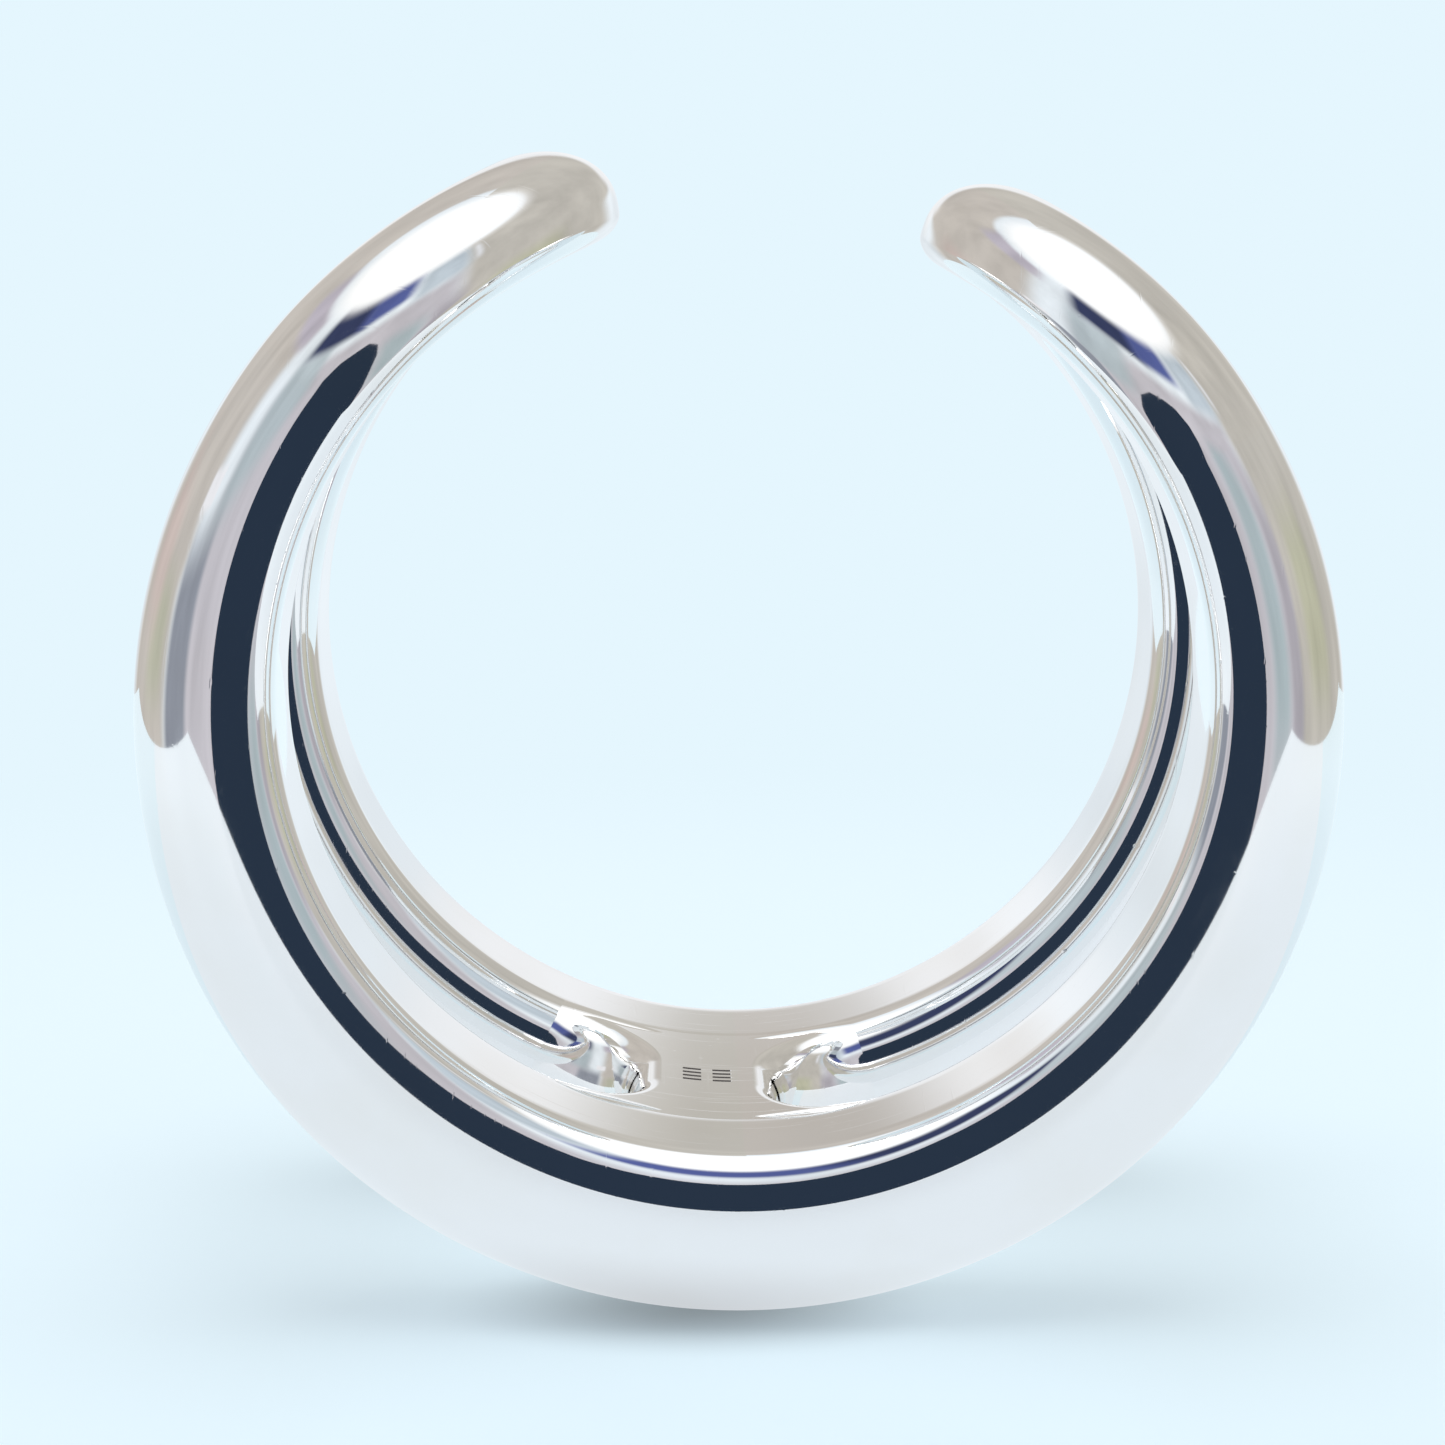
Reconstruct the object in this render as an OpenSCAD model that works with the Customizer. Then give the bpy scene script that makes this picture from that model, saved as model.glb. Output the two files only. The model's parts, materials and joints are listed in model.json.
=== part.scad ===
// Open finger ring shaped like a stud link: two rails, two end bows and a bar.
// The finger hole runs along Y with its centre at the origin, the bar is at the
// bottom and the gap between the two bows is at the top.

/* [Finger hole] */
// Diameter of the finger hole
finger_d = 17; // [15:0.5:22]

/* [Link] */
// Width of the whole ring along the finger
band_w = 13; // [12:0.5:14]
// Width of the wire that the rails and bows are made of
wire_w = 3.9; // [3.4:0.1:4]
// Thickness of the wire at the sides of the ring
wire_t = 2.7; // [2.6:0.1:3.2]
// How much thicker the ring is at the bar than at its sides
crown_drop = 0.65; // [0:0.05:0.7]
// Radius that rounds the edges of the finger hole
edge_r = 0.65; // [0.3:0.05:0.65]

/* [Opening] */
// Angle from the bar to where a rail ends and a bow begins
bow_start = 122; // [110:1:126]
// Angle from the bar to the tip of a bow
tip_angle = 161; // [156:1:168]

/* [Bar] */
// Width of the bar at its waist
bar_w = 2.8; // [2:0.1:4]
// Thickness of the bar
bar_t = 2.3; // [1.5:0.1:2.6]
// Radius of the four corners where the bar meets the rails
bar_flare_r = 1.9; // [0.6:0.1:1.9]

/* [Punch marks] */
// Depth of the plain punch marks on the bar's inner face
mark_depth = 0.06; // [0.02:0.01:0.12]
// Number of strokes in each row of marks
mark_count = 4; // [2:1:5]

/* [Hidden] */
$fn = 96;

bore_r = finger_d / 2;
half_w = wire_w / 2;
crown_r = bore_r + wire_t;          // radius of the outer crown circle
dome_flatness = 1.01;               // 1 makes the wire's outside a full half round
dome_r = dome_flatness * half_w;    // radius of the wire's domed outside
dome_path_r = crown_r - dome_r;     // circle that the dome's centre follows
dome_rise = dome_r - sqrt(dome_r ^ 2 - half_w ^ 2);
rail_y = band_w / 2 - half_w;       // distance from the ring's middle to a rail's middle
slot_half_w = rail_y - half_w;      // half the gap between the rails
mean_r = bore_r + wire_t / 2;       // radius at which the bows are laid out
bar_tuck = 0.3;                     // how far the bar runs under a rail's flat inside
far_r = 3 * bore_r;                 // beyond everything, for cutters

// Bow: the wire's middle line is half an ellipse on the rolled-out band.
wire_angle = half_w / mean_r * 180 / PI;
bow_reach = tip_angle - bow_start - wire_angle;    // in degrees round the finger
bow_reach_len = bow_reach * PI / 180 * mean_r;
bow_steps = 26;
dome_steps = 14;
edge_steps = 4;
inner_steps = 5;

// Punch marks
mark_w = 0.12;
mark_len = 0.42;
mark_pitch = 0.28;

silver = [0.86, 0.87, 0.9];

// A body turned round the Y axis, from a profile of radius against width.
module turned() {
    rotate([90, 0, 0])
        rotate_extrude()
            children();
}

// Outside of a rail: a disc with a fully rounded rim, centred below the hole.
module outer_form() {
    translate([0, 0, -crown_drop])
        turned() {
            translate([dome_path_r, 0])
                intersection() {
                    circle(r = dome_r);
                    translate([0, -half_w])
                        square([wire_w, wire_w]);
                }
            translate([0, -half_w])
                square([crown_r - dome_rise, wire_w]);
        }
}

// Inside of a rail: everything outside the finger hole, with rounded edges.
module inner_form() {
    turned() {
        translate([bore_r + edge_r, -half_w])
            square([2 * wire_t, wire_w]);
        translate([bore_r, edge_r - half_w])
            square([2 * edge_r, wire_w - 2 * edge_r]);
        for (side = [-1, 1])
            translate([bore_r + edge_r, side * (half_w - edge_r)])
                circle(r = edge_r);
    }
}

// The sector between the ends of the rails, which the bows fill.
module bow_sector() {
    a = bow_start;
    rotate([90, 0, 0])
        translate([0, 0, -band_w])
            linear_extrude(2 * band_w)
                polygon([
                    [0, 0],
                    far_r * [sin(a), -cos(a)],
                    far_r * [sin(a), 2],
                    far_r * [-sin(a), 2],
                    far_r * [-sin(a), -cos(a)]
                ]);
}

module rail_body() {
    difference() {
        intersection() {
            outer_form();
            inner_form();
        }
        bow_sector();
    }
}

module front_rail() {
    color(silver)
        translate([0, -rail_y, 0])
            rail_body();
}

module rear_rail() {
    color(silver)
        translate([0, rail_y, 0])
            rail_body();
}

// Height of the wire's crown above the finger hole at an angle from the bar.
function crown_height(angle) =
    crown_drop * cos(angle)
    + sqrt(crown_r ^ 2 - (crown_drop * sin(angle)) ^ 2)
    - bore_r;

// The wire's outline, as [offset across the wire, height, kind of point]. Kind 0
// is the inner face, on the finger hole. Kind 1 is a rounded edge, whose height is
// a part of the edge. Kind 2 is the dome, whose height is above the dome's foot.
wire_outline = concat(
    [for (i = [0 : inner_steps])
        [(half_w - edge_r) * (1 - 2 * i / inner_steps), 0, 0]],
    [for (i = [1 : edge_steps - 1])
        let (a = 90 * i / edge_steps)
        [edge_r - half_w - edge_r * sin(a), 1 - cos(a), 1]],
    [for (i = [0 : dome_steps])
        let (a = asin(half_w / dome_r) * (2 * i / dome_steps - 1))
        [dome_r * sin(a), dome_rise - dome_r * (1 - cos(a)), 2]],
    [for (i = [edge_steps - 1 : -1 : 1])
        let (a = 90 * i / edge_steps)
        [half_w - edge_r + edge_r * sin(a), 1 - cos(a), 1]]
);

// Height of an outline point above the finger hole.
function point_height(p, angle) =
    let (foot = crown_height(angle) - dome_rise)
    p[2] == 0 ? p[1] :
    p[2] == 1 ? p[1] * min(edge_r, foot) :
    p[1] + foot;

// A point of the bow: t runs from -90 at the front rail to 90 at the rear rail.
function bow_point(t, p) =
    let (
        run = [rail_y * cos(t), bow_reach_len * sin(t)],
        outward = run / norm(run),
        angle = bow_start + bow_reach * cos(t)
              + p[0] * outward[0] / mean_r * 180 / PI,
        y = rail_y * sin(t) + p[0] * outward[1],
        r = bore_r + point_height(p, angle)
    )
    [-r * sin(angle), y, -r * cos(angle)];

module bow_body() {
    n = len(wire_outline);
    points = [
        for (i = [0 : bow_steps])
            for (p = wire_outline)
                bow_point(-90 + 180 * i / bow_steps, p)
    ];
    sides = [
        for (i = [0 : bow_steps - 1])
            for (j = [0 : n - 1])
                let (
                    a = i * n + j,
                    b = i * n + (j + 1) % n
                )
                for (f = [[a, b, a + n], [b, b + n, a + n]])
                    f
    ];
    crown = (n + inner_steps) / 2;
    last = bow_steps * n;
    caps = [
        for (a = [0 : n - 1])
            let (b = (a + 1) % n)
            if (a != crown && b != crown)
                for (f = [[crown, b, a], [last + crown, last + a, last + b]])
                    f
    ];
    polyhedron(points, concat(sides, caps));
}

module left_bow() {
    color(silver)
        bow_body();
}

module right_bow() {
    color(silver)
        mirror([1, 0, 0])
            bow_body();
}

// Plan of the bar seen from above: a straight waist with four rounded flares.
// Its ends run under the rails' rounded edges, and the rails are cut out of it.
module bar_plan() {
    end_y = slot_half_w + edge_r + bar_tuck;
    wide = bar_w / 2 + bar_flare_r;
    difference() {
        translate([-wide, -end_y])
            square([2 * wide, 2 * end_y]);
        for (side = [-1, 1]) {
            translate([side * wide, 0])
                square([2 * bar_flare_r, 2 * (slot_half_w - bar_flare_r)], center = true);
            for (end = [-1, 1])
                translate([side * wide, end * (slot_half_w - bar_flare_r)])
                    circle(r = bar_flare_r);
        }
    }
}

// Rows of plain strokes, cut just into the inner face of the bar.
module punch_marks() {
    for (row = [-1, 1])
        for (i = [0 : mark_count - 1])
            translate([
                row * mark_len,
                (i - (mark_count - 1) / 2) * mark_pitch,
                -bore_r
            ])
                cube([mark_len, mark_w, 2 * mark_depth], center = true);
}

module center_bar() {
    color(silver)
        difference() {
            intersection() {
                rotate([90, 0, 0])
                    difference() {
                        cylinder(r = bore_r + bar_t, h = band_w, center = true);
                        cylinder(r = bore_r, h = 2 * band_w, center = true);
                    }
                translate([0, 0, -far_r])
                    linear_extrude(far_r)
                        bar_plan();
            }
            translate([0, -rail_y, 0])
                rail_body();
            translate([0, rail_y, 0])
                rail_body();
            punch_marks();
        }
}

front_rail();
rear_rail();
left_bow();
right_bow();
center_bar();
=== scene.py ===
"""Looks of the open stud link ring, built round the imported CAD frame."""

import json
import math

import bpy
import numpy as np
from mathutils import Matrix, Vector


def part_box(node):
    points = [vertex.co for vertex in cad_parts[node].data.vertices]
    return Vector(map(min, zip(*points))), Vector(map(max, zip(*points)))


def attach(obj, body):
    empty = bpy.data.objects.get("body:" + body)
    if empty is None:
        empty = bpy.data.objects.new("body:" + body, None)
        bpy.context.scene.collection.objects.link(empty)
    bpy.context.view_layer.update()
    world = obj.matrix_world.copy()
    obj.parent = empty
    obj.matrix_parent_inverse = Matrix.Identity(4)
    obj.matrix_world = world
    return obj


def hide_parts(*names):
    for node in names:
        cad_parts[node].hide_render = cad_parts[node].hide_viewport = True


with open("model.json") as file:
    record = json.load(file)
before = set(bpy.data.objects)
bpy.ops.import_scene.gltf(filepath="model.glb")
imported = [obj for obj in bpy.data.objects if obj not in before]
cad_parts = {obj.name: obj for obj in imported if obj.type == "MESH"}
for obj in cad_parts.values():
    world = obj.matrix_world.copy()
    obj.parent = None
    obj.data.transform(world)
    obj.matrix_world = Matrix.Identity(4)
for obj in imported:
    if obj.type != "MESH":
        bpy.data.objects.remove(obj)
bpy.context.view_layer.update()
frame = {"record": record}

# ---------------------------------------------------------------- sizes, in mm
M_TO_MM = 1000.0
MM = 0.001
hole = frame["record"]["mounts"][0]
BORE_R = hole["dims"]["r_mm"]
rail_lo, rail_hi = (Vector(c) * M_TO_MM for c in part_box("front_rail"))
CROWN_R = rail_hi.x
CROWN_DROP = -rail_lo.z - CROWN_R
HALF_W = (rail_hi.y - rail_lo.y) / 2
RAIL_Y = -(rail_hi.y + rail_lo.y) / 2
SLOT_HALF = RAIL_Y - HALF_W
BOW_START = math.acos(-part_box("left_bow")[0].z * M_TO_MM / BORE_R)
TIP_ANGLE = math.radians(161.0)
MEAN_R = (BORE_R + CROWN_R) / 2
BOW_REACH = TIP_ANGLE - BOW_START - HALF_W / MEAN_R

# The wire's section
OUTER_EDGE = 0.70      # how far the rounding of the outer edge reaches along the finger
SLOT_EDGE = 0.85       # the same on the slot side
WIDEST = 0.35          # height of the wire's widest line, as a share of its thickness
SIDE_R = 2.0           # radius of the flattened side between the widest line and the hole
TIGHT_FROM = 0.36      # height where the outer side turns into its tight corner
SLOT_TURN = 0.50       # the same on the slot side, as a share of the widest line's height

# The bar
BAR_HALF = 1.4             # half its width at the waist
BAR_FLARE = 1.9            # radius of the four corners where it meets the rails
BAR_THICK = 2.3
FLARE_FROM = 0.10          # turn, in radians, at which a flare leaves the rail's side
BAR_EDGE = (0.5, 0.8)      # rounding of the bar's inner edges: across, deep
BAR_BACK = (0.9, 1.5)      # rounding of the bar's outer side: across, deep
BAR_SINK = 0.0001          # keeps the bar's rim just under the rails' surface

# Plain punched strokes on the bar's inner face
MARK_DEPTH = 0.05
MARK_WALL = 0.03           # width of the slope down into a stroke
MARK_SIZE = (0.19, 0.065)  # half length and half width of one stroke
MARK_COUNT = 4             # strokes in a row
MARK_PITCH = 0.28
MARK_ROWS = (-0.30, 0.30)

# How finely the meshes are divided
RAIL_STEPS = 400           # along a rail
BOW_STEPS = 150            # along a bow
DOME_STEPS = 72            # over the wire's outside
EDGE_STEPS = 20            # round an edge of the finger hole
SIDE_STEPS = 14            # down the wire's flattened side
FLAT_STEPS = 10            # across the wire's inner face
FLARE_STEPS = 72           # round one flare of the bar
WAIST_STEPS = 110          # along the bar's waist
TOP_STEPS = 120            # across the bar's inner face
BACK_STEPS = 20            # round the edge of the bar's outer side
BASE_STEPS = 14            # across the bar's outer side
NUDGE = 1e-4               # step that finds the direction along a wire
FLUSH = 1e-6               # below this height a point lies on the inner face


# ------------------------------------------------------------------- the wire
def corner_arc(turn_from, deep, across):
    """Recess and drop along a corner that turns from turn_from to flat.

    The radius grows evenly with the turn, and lands on the given depth and width."""
    span = math.pi / 2 - turn_from
    share = np.linspace(0, 1, EDGE_STEPS + 1)[1:]
    turn = turn_from + span * share
    drop_a = np.sin(turn) - np.sin(turn_from)
    back_a = np.cos(turn_from) - np.cos(turn)
    gap = turn - turn_from
    drop_b = (gap * np.sin(turn) + np.cos(turn) - np.cos(turn_from)) / span
    back_b = (-gap * np.cos(turn) + np.sin(turn) - np.sin(turn_from)) / span
    det = drop_a[..., -1:] * back_b[..., -1:] - drop_b[..., -1:] * back_a[..., -1:]
    ka = (deep * back_b[..., -1:] - drop_b[..., -1:] * across) / det
    kb = (drop_a[..., -1:] * across - deep * back_a[..., -1:]) / det
    return ka * drop_a + kb * drop_b, ka * back_a + kb * back_b


def wire_edge(low, tight, reach):
    """Flattened side below the widest line, then the rounded corner of the hole."""
    low, tight = low[..., None], np.broadcast_to(tight, low.shape)[..., None]
    turn = np.arcsin((low - tight) / SIDE_R)
    part = np.linspace(0, 1, SIDE_STEPS + 1)[1:]
    side_h, side_s = low - SIDE_R * np.sin(turn * part), SIDE_R * (1 - np.cos(turn * part))
    drop, back = corner_arc(turn, tight, reach - side_s[..., -1:])
    h = np.concatenate([side_h, tight - drop], -1)
    s = np.concatenate([side_s, side_s[..., -1:] + back], -1)
    return HALF_W - s, h


def wire_section(crown):
    """Points round the wire for a thickness: offset across it, height on the hole."""
    crown = np.asarray(crown, float)
    low = WIDEST * crown
    dome = np.linspace(0, math.pi, DOME_STEPS + 1)
    dome_s = np.broadcast_to(HALF_W * np.cos(dome), crown.shape + dome.shape)
    dome_h = low[..., None] + (crown - low)[..., None] * np.sin(dome)
    slot_s, slot_h = wire_edge(low, SLOT_TURN * low, SLOT_EDGE)
    out_s, out_h = wire_edge(low, TIGHT_FROM, OUTER_EDGE)
    flat = np.linspace(-HALF_W + SLOT_EDGE, HALF_W - OUTER_EDGE, FLAT_STEPS + 1)[1:-1]
    flat_s = np.broadcast_to(flat, crown.shape + flat.shape)
    return (np.concatenate([dome_s, -slot_s, flat_s, out_s[..., ::-1]], -1),
            np.concatenate([dome_h, slot_h, 0 * flat_s, out_h[..., ::-1]], -1))


def crown_height(angle):
    """Thickness of the ring over the finger hole, at an angle from the bar."""
    return (CROWN_DROP * np.cos(angle)
            + np.sqrt(CROWN_R ** 2 - (CROWN_DROP * np.sin(angle)) ** 2) - BORE_R)


def on_ring(angle, y, height):
    r = BORE_R + height
    return np.stack([-r * np.sin(angle), y + 0 * r, -r * np.cos(angle)], -1)


def rail_place(side):
    def place(u):
        s, h = wire_section(crown_height(u))
        return on_ring(u[:, None], side * (RAIL_Y + s), h)
    return place


def bow_place(side):
    def place(t):
        run_a, run_y = RAIL_Y * np.cos(t), BOW_REACH * MEAN_R * np.sin(t)
        size = np.hypot(run_a, run_y)
        middle = BOW_START + BOW_REACH * np.cos(t)
        s, _ = wire_section(crown_height(middle))
        angle = middle[:, None] + s * (run_a / size / MEAN_R)[:, None]
        y = (RAIL_Y * np.sin(t))[:, None] + s * (run_y / size)[:, None]
        _, all_h = wire_section(crown_height(angle))
        h = np.diagonal(all_h, axis1=1, axis2=2)
        p = on_ring(angle, y, h)
        p[..., 0] *= side
        return p
    return place


def swept(place, u_values):
    """Grid of points and outward normals for a wire swept along u."""
    u = np.asarray(u_values)
    points = place(u)
    return points, grid_normals(points, place(u + NUDGE) - place(u - NUDGE))


def grid_normals(points, along):
    """Outward normals of closed loops, from the direction that they follow."""
    before = points - np.roll(points, 1, axis=1)
    after = np.roll(points, -1, axis=1) - points
    len_b = np.linalg.norm(before, axis=-1, keepdims=True)
    len_a = np.linalg.norm(after, axis=-1, keepdims=True)
    across = before / len_b * len_a + after / len_a * len_b
    normals = np.cross(along, across)
    normals /= np.linalg.norm(normals, axis=-1, keepdims=True)
    middle = points.mean(axis=1, keepdims=True)
    if ((points - middle) * normals).sum() < 0:
        normals = -normals
    return normals


# -------------------------------------------------------------------- the bar
def bar_rows():
    """Rows along the bar's side: x, y, direction inward, and how far past the flare."""
    rows = []
    corner_x, corner_y = BAR_HALF + BAR_FLARE, SLOT_HALF - BAR_FLARE
    for a in np.linspace(FLARE_FROM, math.pi / 2, FLARE_STEPS + 1):
        rows.append((corner_x - BAR_FLARE * math.sin(a), -corner_y - BAR_FLARE * math.cos(a),
                     -math.sin(a), -math.cos(a), a / (math.pi / 2)))
    half = list(rows)
    for y in np.linspace(-corner_y, corner_y, WAIST_STEPS + 1)[1:-1]:
        rows.append((BAR_HALF, y, -1.0, 0.0, 1.0))
    rows += [(x, -y, nx, -ny, f) for x, y, nx, ny, f in reversed(half)]
    return rows


def ease(x):
    """Goes from 0 to 1 with a level start and end."""
    return x * x * (3 - 2 * x)


def punched(x, y):
    """Depth of the plain punched strokes at a place on the bar's inner face."""
    deep = np.zeros_like(x)
    for row_x in MARK_ROWS:
        for i in range(MARK_COUNT):
            row_y = (i - (MARK_COUNT - 1) / 2) * MARK_PITCH
            past_x, past_y = np.abs(x - row_x) - MARK_SIZE[0], np.abs(y - row_y) - MARK_SIZE[1]
            deep = np.maximum(deep, np.clip(-np.maximum(past_x, past_y) / MARK_WALL, 0, 1))
    return MARK_DEPTH * ease(deep)


def bar_grid():
    """Closed loops round the bar, one for each row along its side, and their normals.

    At the rails the bar's side follows the slot edge of the wire, and at the waist it
    has the bar's own rounding. Each loop is one side, the inner face, the other side
    and the outer face."""
    round_a = np.linspace(math.pi / 2, 0, SIDE_STEPS + EDGE_STEPS + 1)[1:]
    waist_d, waist_h = BAR_EDGE[0] * (1 - np.sin(round_a)), BAR_EDGE[1] * (1 - np.cos(round_a))
    loops = []
    for x, y, nx, ny, f in bar_rows():
        k = ease(f)
        thick_at_bar = float(crown_height(x / BORE_R))
        rail_low = WIDEST * thick_at_bar
        slot_s, slot_h = wire_edge(np.array(rail_low), SLOT_TURN * rail_low, SLOT_EDGE)
        slot_d, slot_h = HALF_W - slot_s.ravel(), slot_h.ravel()
        low = rail_low + (BAR_EDGE[1] - rail_low) * k
        back = HALF_W + (BAR_BACK[0] - HALF_W) * k
        rise = (thick_at_bar - rail_low) * (1 - k) + BAR_BACK[1] * k
        stop = np.linspace(math.asin(min(1.0, (BAR_THICK - low) / rise)), 0, BACK_STEPS)
        d = np.concatenate([back * (1 - np.cos(stop)), slot_d + (waist_d - slot_d) * k])
        h = np.concatenate([low + rise * np.sin(stop), slot_h + (waist_h - slot_h) * k])
        side = np.stack([x + nx * d, y + ny * d, h], -1)
        across = np.linspace(1, -1, TOP_STEPS)[1:-1, None]
        top = side[-1] * (across * (1, 0, 0) + (0, 1, 1))
        other = side[::-1] * (-1, 1, 1)
        across = np.linspace(1, -1, BASE_STEPS)[1:-1, None]
        base = other[-1] * (across * (1, 0, 0) + (0, 1, 1))
        loops.append(np.concatenate([side, top, other, base]))
    g = np.array(loops)
    on_top = g[..., 2] < FLUSH
    g[..., 2] += BAR_SINK + on_top * punched(g[..., 0], g[..., 1])
    points = on_ring(g[..., 0] / BORE_R, g[..., 1], g[..., 2])
    normals = grid_normals(points, np.gradient(points, axis=0))
    to_axis = points * (-1, 0, -1)
    to_axis /= np.linalg.norm(to_axis, axis=-1, keepdims=True)
    return points, np.where(on_top[..., None], to_axis, normals)


# ------------------------------------------------------------------- meshes
def grid_faces(rows, cols, flip):
    """Four-sided faces of a grid whose rows are closed loops."""
    i = np.arange(rows - 1)[:, None] * cols
    j = np.arange(cols)[None, :]
    k = (j + 1) % cols
    quad = np.stack([i + j, i + k, i + cols + k, i + cols + j], -1).reshape(-1, 4)
    return quad[:, ::-1] if flip else quad


def closed_tube(name, points, normals):
    """A closed mesh from a grid of loops, with a fan cap at each end.

    The tube is shaded with the given normals, and its caps are flat."""
    rows, cols, _ = points.shape
    flat = points.reshape(-1, 3)
    facing = np.cross(points[1, 0] - points[0, 0], points[0, 1] - points[0, 0])
    flip = float(np.dot(facing, points[0, 0] - points[0].mean(0))) > 0
    sides = grid_faces(rows, cols, flip)
    verts = np.vstack([flat, points[0].mean(0), points[-1].mean(0)])
    first, last = len(flat), len(flat) + 1
    faces = [tuple(int(v) for v in q) for q in sides]
    for j in range(cols):
        k = (j + 1) % cols
        head, tail = (first, k, j), (last, (rows - 1) * cols + j, (rows - 1) * cols + k)
        if flip:
            head, tail = head[::-1], tail[::-1]
        faces += [head, tail]
    mesh = bpy.data.meshes.new(name)
    mesh.from_pydata([tuple(v) for v in verts * MM], [], faces)
    mesh.update()
    for p in mesh.polygons:
        p.use_smooth = True
    vert_normals = normals.reshape(-1, 3)
    loops = []
    for p in mesh.polygons:
        for li in p.loop_indices:
            if p.index < len(sides):
                loops.append(tuple(vert_normals[mesh.loops[li].vertex_index]))
            else:
                loops.append(tuple(p.normal))
    mesh.normals_split_custom_set(loops)
    piece = bpy.data.objects.new(name, mesh)
    bpy.context.scene.collection.objects.link(piece)
    return piece


# --------------------------------------------------------------- shader nodes
def feed(tree, value, socket):
    """Feeds a socket from another socket, or gives it a fixed value."""
    if isinstance(value, bpy.types.NodeSocket):
        tree.links.new(value, socket)
    else:
        socket.default_value = value


def number(tree, operation, a, b=0.0):
    """Result of a sum on one or two numbers."""
    node = tree.nodes.new("ShaderNodeMath")
    node.operation = operation
    feed(tree, a, node.inputs[0])
    feed(tree, b, node.inputs[1])
    return node.outputs["Value"]


def vector(tree, operation, a, b=None, output="Vector"):
    """Result of a sum on one or two vectors, or on a vector and its scale."""
    node = tree.nodes.new("ShaderNodeVectorMath")
    node.operation = operation
    feed(tree, a, node.inputs[0])
    if b is not None:
        feed(tree, b, node.inputs["Scale" if operation == "SCALE" else 1])
    return node.outputs[output]


def ranged(tree, value, lo, hi, out_lo=0.0, out_hi=1.0, smooth=False):
    """Maps lo to out_lo and hi to out_hi, and stays between those two."""
    node = tree.nodes.new("ShaderNodeMapRange")
    if smooth:
        node.interpolation_type = "SMOOTHSTEP"
    for key, v in (("From Min", lo), ("From Max", hi), ("To Min", out_lo), ("To Max", out_hi)):
        node.inputs[key].default_value = v
    feed(tree, value, node.inputs["Value"])
    return node.outputs["Result"]


def noise(tree, place, scale, detail):
    node = tree.nodes.new("ShaderNodeTexNoise")
    node.inputs["Scale"].default_value = scale
    node.inputs["Detail"].default_value = detail
    feed(tree, place, node.inputs["Vector"])
    return node.outputs["Fac"]


def stretched(tree, place, scale, turn):
    """The same place, turned and stretched, so that a noise becomes lines."""
    node = tree.nodes.new("ShaderNodeMapping")
    node.inputs["Scale"].default_value = scale
    node.inputs["Rotation"].default_value = turn
    feed(tree, place, node.inputs["Vector"])
    return node.outputs["Vector"]


def mixed(tree, factor, under, over):
    """Lays one colour over another."""
    node = tree.nodes.new("ShaderNodeMix")
    node.data_type = "RGBA"
    feed(tree, factor, node.inputs["Factor"])
    feed(tree, under, node.inputs["A"])
    feed(tree, over, node.inputs["B"])
    return node.outputs["Result"]


# ------------------------------------------------------------------ materials
TARNISH = (0.965, 0.955, 0.935)     # what a smear takes off the silver's colour
SMEAR_ROUGH = 1.8                   # how much rougher a smear is
MARK_ROUGH = 0.05                   # roughness that a scratch or pit adds
MARK_BUMP = 0.05


def silver(name, tint, rough, wear):
    """Polished silver: hairline scratches, faint smears and small pits."""
    mat = bpy.data.materials.new(name)
    mat.use_nodes = True
    tree = mat.node_tree
    shader = tree.nodes["Principled BSDF"]
    shader.inputs["Metallic"].default_value = 1.0
    place = tree.nodes.new("ShaderNodeTexCoord").outputs["Object"]

    # faint tarnish and finger smears
    smear = noise(tree, place, 260.0, 4.0)
    dull = tuple(c * t for c, t in zip(tint, TARNISH))
    color = mixed(tree, ranged(tree, smear, 0.45, 0.75), (*tint, 1), (*dull, 1))
    feed(tree, color, shader.inputs["Base Color"])

    # hairline scratches in two directions, and pits
    lines = noise(tree, stretched(tree, place, (60, 2600, 60), (0.3, 0.2, 0.5)), 5.0, 2.0)
    others = noise(tree, stretched(tree, place, (2600, 70, 300), (0.9, 0.4, -0.6)), 5.0, 2.0)
    scratches = number(tree, "MAXIMUM", ranged(tree, lines, 0.66, 0.74),
                       ranged(tree, others, 0.68, 0.76))
    pits = ranged(tree, noise(tree, place, 5200.0, 1.0), 0.74, 0.82)
    marks = number(tree, "MAXIMUM", scratches, pits)
    roughness = number(tree, "ADD", ranged(tree, smear, 0.35, 0.8, rough, rough * SMEAR_ROUGH),
                       number(tree, "MULTIPLY", marks, MARK_ROUGH * wear))
    feed(tree, roughness, shader.inputs["Roughness"])
    bump = tree.nodes.new("ShaderNodeBump")
    bump.invert = True
    bump.inputs["Strength"].default_value = MARK_BUMP * wear
    bump.inputs["Distance"].default_value = 0.00001
    feed(tree, marks, bump.inputs["Height"])
    feed(tree, bump.outputs["Normal"], shader.inputs["Normal"])
    return mat


rail_silver = silver("rail_silver", (0.93, 0.935, 0.94), 0.030, 0.8)
bow_silver = silver("bow_silver", (0.93, 0.93, 0.93), 0.034, 1.0)
bar_silver = silver("bar_silver", (0.92, 0.92, 0.92), 0.040, 1.2)


def dress(piece, material, node):
    """Puts a piece in the place of its CAD node, with its material."""
    piece.data.materials.append(material)
    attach(piece, "root")
    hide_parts(node)


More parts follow.
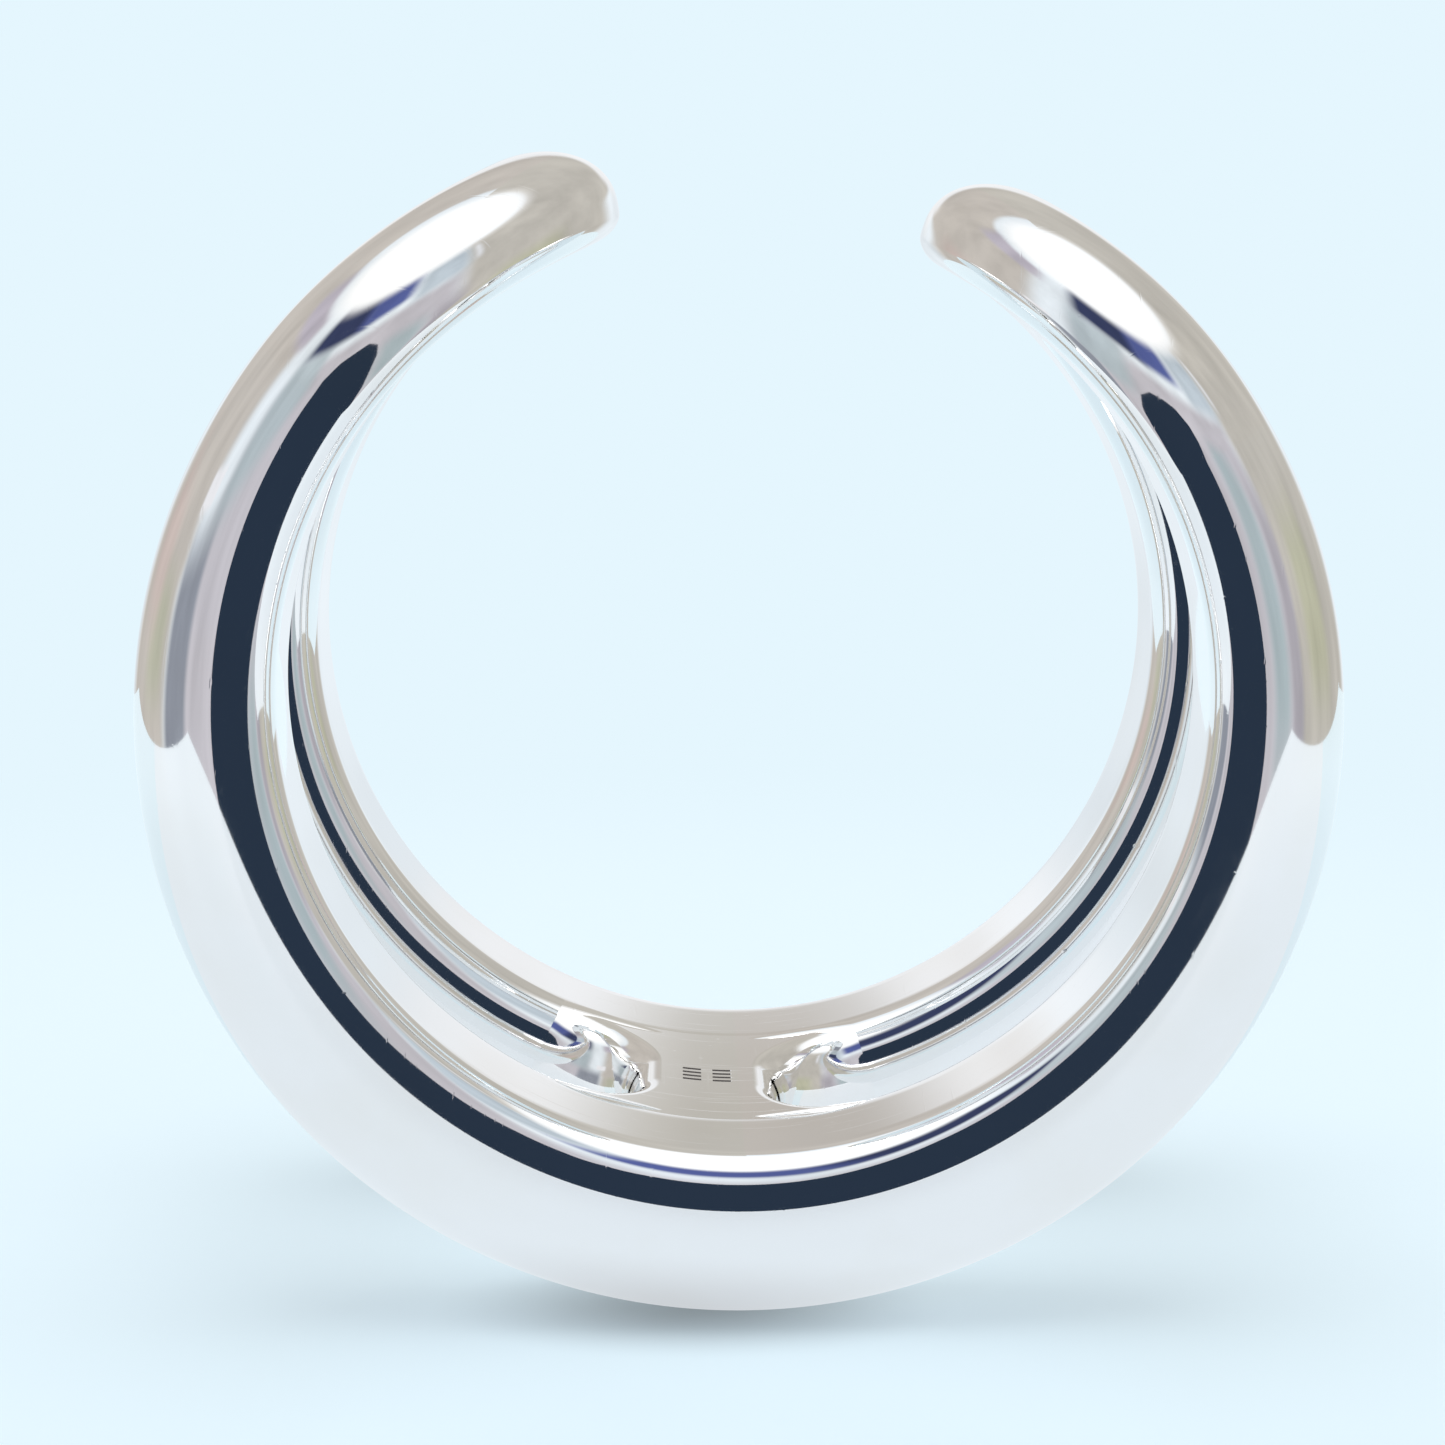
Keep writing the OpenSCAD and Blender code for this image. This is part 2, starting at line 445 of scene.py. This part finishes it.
rail_angles = np.linspace(-BOW_START, BOW_START, RAIL_STEPS + 1)
bow_turns = np.linspace(-math.pi / 2, math.pi / 2, BOW_STEPS + 1)
for name, side in (("front_rail", -1), ("rear_rail", 1)):
    tube = closed_tube(name + "_wire", *swept(rail_place(side), rail_angles))
    dress(tube, rail_silver, name)
for name, side in (("left_bow", 1), ("right_bow", -1)):
    tube = closed_tube(name + "_wire", *swept(bow_place(side), bow_turns))
    dress(tube, bow_silver, name)
bar = closed_tube("center_bar_plate", *bar_grid())
dress(bar, bar_silver, "center_bar")

# Dark tarnish in the punched strokes
mark_silver = bpy.data.materials.new("mark_silver")
mark_silver.use_nodes = True
mark_shader = mark_silver.node_tree.nodes["Principled BSDF"]
mark_shader.inputs["Base Color"].default_value = (0.085, 0.075, 0.072, 1)
mark_shader.inputs["Roughness"].default_value = 0.6
mark_shader.inputs["Specular IOR Level"].default_value = 0.2
bar.data.materials.append(mark_silver)
DEEPEST = BORE_R + 1.2 * MARK_DEPTH      # radius that takes in the strokes' floors
TARNISH_FROM = 0.1 * MARK_DEPTH          # depth at which a stroke starts to be dark
for face in bar.data.polygons:
    mid = face.center / MM
    on_inside = math.hypot(mid.x, mid.z) < DEEPEST
    spot = punched(np.array(math.asin(mid.x / BORE_R) * BORE_R), np.array(mid.y))
    if on_inside and spot > TARNISH_FROM:
        face.material_index = 1

# ------------------------------------------- camera, in mm and radians
CAM_DIST = 80.14           # from the hole's centre
CAM_RISE = 0.1395          # radians above the finger's axis
CAM_YAW = -0.0261
CAM_ROLL = 0.0741
CAM_AIM = Vector((-0.2088, 0.0, -1.3838))
CAM_LENS = 101.8165        # for a sensor 36 mm wide

eye = CAM_DIST * Vector((math.sin(CAM_YAW) * math.cos(CAM_RISE),
                         -math.cos(CAM_YAW) * math.cos(CAM_RISE), math.sin(CAM_RISE)))
look = (CAM_AIM - eye).normalized()
level = look.cross(Vector((0, 0, 1))).normalized()
upright = level.cross(look)
right = math.cos(CAM_ROLL) * level + math.sin(CAM_ROLL) * upright
up = math.cos(CAM_ROLL) * upright - math.sin(CAM_ROLL) * level
camera_data = bpy.data.cameras.new("camera")
camera_data.sensor_width = 36.0
camera_data.lens = CAM_LENS
camera_data.clip_start = 0.001
camera_data.clip_end = 10.0
camera = bpy.data.objects.new("camera", camera_data)
bpy.context.scene.collection.objects.link(camera)
camera.matrix_world = (Matrix.Translation(eye * MM)
                       @ Matrix((right, up, -look)).transposed().to_4x4())
bpy.context.scene.camera = camera
bpy.context.scene.view_settings.view_transform = "Standard"

# ----------------------------------------------------------------- the studio
BACKDROP = (0.783, 0.922, 0.991)
TABLE_COLOR = (0.369, 0.445, 0.485)
TABLE_GLOW = 0.45            # even light from the table itself
PAINTED_SHADOW_REACH = (5.2, 3.4)   # how far the painted shadow under the ring reaches, aside and toward
PAINTED_SHADOW_LEVEL = 0.40         # the table's brightness right under the ring, darkened there as a painted shadow
TABLE_FADE = (24.0, 60.0)    # distances over which the table turns into the backdrop

ROOM = (240, 248, 254)
OVERHEAD, ZENITH = 1.15, 4.5                   # brightness of the light above
OVERHEAD_FROM, ZENITH_FROM = (48.0, 62.0), (66.0, 72.0)
MOTTLE = (0.84, 1.06)                          # how uneven the room's brightness is

# Soft patches of the room, later ones over earlier ones: colour from 0 to 255, azimuth
# from the camera (right is positive) and elevation from and to, then how softly the
# patch ends in azimuth (8 if not given) and in elevation (5), all in degrees.
STUDIO = (
    # beige walls behind the ring, upper and lower
    ((203, 197, 190), (-220, -84), (7, 48), 8.0, 2.0),
    ((201, 197, 189), (60, 220), (7, 55), 8.0, 2.0),
    ((203, 197, 190), (-152, -84), (-40, 12), 8.0, 4.0),
    ((201, 197, 189), (60, 152), (-40, 12), 8.0, 4.0),
    # grey round the camera, darker to the left and with a bluish part to the right
    ((205, 202, 209), (-60, 60), (-40, 27)),
    ((150, 155, 166), (-82, -52), (-40, 10), 4.0, 6.0),
    ((176, 172, 180), (50, 66), (-40, 12), 5.0, 8.0),
    ((176, 190, 195), (24, 46), (-12, 10), 6.0, 5.0),
    # faint olive and pink tints in the beige
    ((190, 190, 168), (80, 115), (-6, 12), 8.0, 5.0),
    ((190, 190, 172), (-120, -92), (-6, 6), 8.0, 4.0),
    ((205, 190, 184), (-140, -112), (0, 12), 8.0, 4.0),
    ((190, 202, 208), (-62, -28), (10, 34), 6.0, 5.0),
    ((196, 190, 202), (-130, -80), (38, 50), 8.0, 3.0),
    # pale light low behind the ring
    ((252, 253, 255), (166, 220), (2, 12), 6.0, 2.5),
    ((252, 253, 255), (-220, -166), (2, 12), 6.0, 2.5),
    # dark and blue shapes high in front, which the bows mirror
    ((58, 66, 98), (-58, -4), (34, 56), 7.0, 4.0),
    ((92, 104, 165), (-12, 26), (35, 56), 8.0, 4.0),
    ((196, 208, 218), (30, 62), (28, 54), 6.0, 5.0),
    # thin bright lines
    ((246, 246, 250), (-88, -74), (14, 19), 2.0, 1.0),
    ((240, 242, 246), (66, 70), (32, 50), 2.5, 5.0),
)


def table_material(name, color, glow_color, glow):
    """A pale glazed table top that also glows a little by itself."""
    mat = bpy.data.materials.new(name)
    mat.use_nodes = True
    shader = mat.node_tree.nodes["Principled BSDF"]
    shader.inputs["Base Color"].default_value = (*color, 1)
    shader.inputs["Roughness"].default_value = 0.35
    shader.inputs["Specular IOR Level"].default_value = 0.1
    shader.inputs["Emission Color"].default_value = (*glow_color, 1)
    shader.inputs["Emission Strength"].default_value = glow
    mat.cycles.emission_sampling = "NONE"
    return mat


def ground_material(name, color, glow_color, glow):
    """The table that the camera sees: a painted shadow darkens its colour and glow
    where the ring touches it, and it turns into the backdrop far away."""
    mat = table_material(name, color, glow_color, glow)
    tree = mat.node_tree
    shader = tree.nodes["Principled BSDF"]
    place = tree.nodes.new("ShaderNodeTexCoord").outputs["Object"]

    # painted shadow: the table's colour and glow are darkened near where the ring stands on it
    from_contact = vector(tree, "ADD", place, (0, RAIL_Y * MM, 0))
    per_reach = (1 / (PAINTED_SHADOW_REACH[0] * MM), 1 / (PAINTED_SHADOW_REACH[1] * MM), 0)
    spread = vector(tree, "LENGTH", vector(tree, "MULTIPLY", from_contact, per_reach),
                    output="Value")
    painted_shadow = ranged(tree, spread, 0.0, 1.0, PAINTED_SHADOW_LEVEL, 1.0, smooth=True)
    feed(tree, number(tree, "MULTIPLY", painted_shadow, glow), shader.inputs["Emission Strength"])
    feed(tree, vector(tree, "SCALE", color, painted_shadow), shader.inputs["Base Color"])

    distance = vector(tree, "LENGTH", place, output="Value")
    far = ranged(tree, distance, TABLE_FADE[0] * MM, TABLE_FADE[1] * MM, smooth=True)
    even = tree.nodes.new("ShaderNodeEmission")
    even.inputs["Color"].default_value = (*glow_color, 1)
    mix = tree.nodes.new("ShaderNodeMixShader")
    feed(tree, far, mix.inputs["Fac"])
    feed(tree, shader.outputs["BSDF"], mix.inputs[1])
    feed(tree, even.outputs["Emission"], mix.inputs[2])
    feed(tree, mix.outputs["Shader"], tree.nodes["Material Output"].inputs["Surface"])
    return mat


def glow_material(name, color):
    """A plain, even glow."""
    mat = bpy.data.materials.new(name)
    mat.use_nodes = True
    tree = mat.node_tree
    tree.nodes.remove(tree.nodes["Principled BSDF"])
    glow = tree.nodes.new("ShaderNodeEmission")
    glow.inputs["Color"].default_value = (*color, 1)
    feed(tree, glow.outputs["Emission"], tree.nodes["Material Output"].inputs["Surface"])
    mat.cycles.emission_sampling = "NONE"
    return mat


# The table is level in the picture, so it leans with the camera's roll.
table_up = Vector((-math.sin(CAM_ROLL), 0, math.cos(CAM_ROLL)))
table_point = Vector((0, 0, -CROWN_DROP)) - CROWN_R * table_up
toward = (eye - eye.dot(table_up) * table_up).normalized()
aside = table_up.cross(toward)        # to the right in the picture


def card(name, corners, material, camera=False, glossy=True, diffuse=True, shadow=True):
    """A flat card through corner points given as (aside, toward, up) from the origin."""
    pts = [(aside * a + toward * t + table_up * u) * MM for a, t, u in corners]
    mesh = bpy.data.meshes.new(name)
    mesh.from_pydata([tuple(p) for p in pts], [], [tuple(range(len(pts)))])
    mesh.materials.append(material)
    obj = bpy.data.objects.new(name, mesh)
    bpy.context.scene.collection.objects.link(obj)
    obj.visible_camera = camera
    obj.visible_glossy = glossy
    obj.visible_diffuse = diffuse
    obj.visible_shadow = shadow
    return obj


TABLE_UP = table_point.dot(table_up)
TABLE_LOW = TABLE_UP - 0.02    # for the parts that only the silver mirrors
TABLE_END = 3000
card("table_wide", [(-TABLE_END, TABLE_END, TABLE_UP), (-TABLE_END, -TABLE_END, TABLE_UP),
                    (TABLE_END, -TABLE_END, TABLE_UP), (TABLE_END, TABLE_END, TABLE_UP)],
     ground_material("table_top", TABLE_COLOR, BACKDROP, TABLE_GLOW),
     camera=True, glossy=False)
# What the silver mirrors of the table ends a little in front and to the sides, and
# is whiter in front.
card("table_front", [(-60, 52, TABLE_LOW), (-70, -4, TABLE_LOW), (70, -4, TABLE_LOW),
                     (60, 52, TABLE_LOW)],
     table_material("table_white", (0.5, 0.5, 0.5), (0.96, 0.97, 1.0), 0.52),
     diffuse=False, shadow=False)
card("table_back", [(-70, -4, TABLE_LOW), (-85, -75, TABLE_LOW), (85, -75, TABLE_LOW),
                    (70, -4, TABLE_LOW)],
     table_material("table_blue", (0.45, 0.50, 0.52), (0.88, 0.96, 1.0), 0.52),
     diffuse=False, shadow=False)
card("camera_body", [(-32, 82, -30), (25, 82, -30), (25, 82, 12), (21, 82, 21),
                     (10, 82, 27), (-16, 82, 27), (-28, 82, 21), (-32, 82, 12)],
     glow_material("dark_card", (0.022, 0.036, 0.062)), diffuse=False, shadow=False)

world = bpy.data.worlds.new("studio")
bpy.context.scene.world = world
world.use_nodes = True
sky_tree = world.node_tree
ray = sky_tree.nodes.new("ShaderNodeTexCoord").outputs["Generated"]


def along(axis):
    """How much of the ray's direction goes along an axis."""
    return vector(sky_tree, "DOT_PRODUCT", ray, tuple(axis), output="Value")


def in_degrees(angle):
    return number(sky_tree, "MULTIPLY", angle, math.degrees(1))


azimuth = in_degrees(number(sky_tree, "ARCTAN2", along(aside), along(toward)))
elevation = in_degrees(number(sky_tree, "ARCSINE", along(table_up)))


def step(value, lo, hi):
    """0 below lo and 1 above hi, with a smooth change between."""
    return ranged(sky_tree, value, lo, hi, smooth=True)


def window(value, lo, hi, soft):
    """1 between lo and hi, and 0 outside them."""
    return number(sky_tree, "SUBTRACT", step(value, lo - soft, lo + soft),
                  step(value, hi - soft, hi + soft))


def srgb(r, g, b):
    """A colour from 0 to 255 as Blender's linear values. None here is near black."""
    return tuple(((c / 255 + 0.055) / 1.055) ** 2.4 for c in (r, g, b)) + (1.0,)


def paint(under, color, az, el, soft_az=8.0, soft_el=5.0):
    """Lays a soft patch of colour over part of the room."""
    mask = number(sky_tree, "MULTIPLY", window(azimuth, *az, soft_az),
                  window(elevation, *el, soft_el))
    return mixed(sky_tree, mask, under, srgb(*color))


sky = srgb(*ROOM)
for patch in STUDIO:
    sky = paint(sky, *patch)
clouds = ranged(sky_tree, noise(sky_tree, ray, 3.2, 3.0), 0.3, 0.7, *MOTTLE)
sky = vector(sky_tree, "SCALE", sky, clouds)
sky = mixed(sky_tree, step(elevation, *OVERHEAD_FROM), sky, (OVERHEAD, OVERHEAD, OVERHEAD, 1))
sky = mixed(sky_tree, step(elevation, *ZENITH_FROM), sky, (ZENITH, ZENITH, ZENITH, 1))
seen_directly = sky_tree.nodes.new("ShaderNodeLightPath").outputs["Is Camera Ray"]
sky = mixed(sky_tree, seen_directly, sky, (*BACKDROP, 1))
feed(sky_tree, sky, sky_tree.nodes["Background"].inputs["Color"])
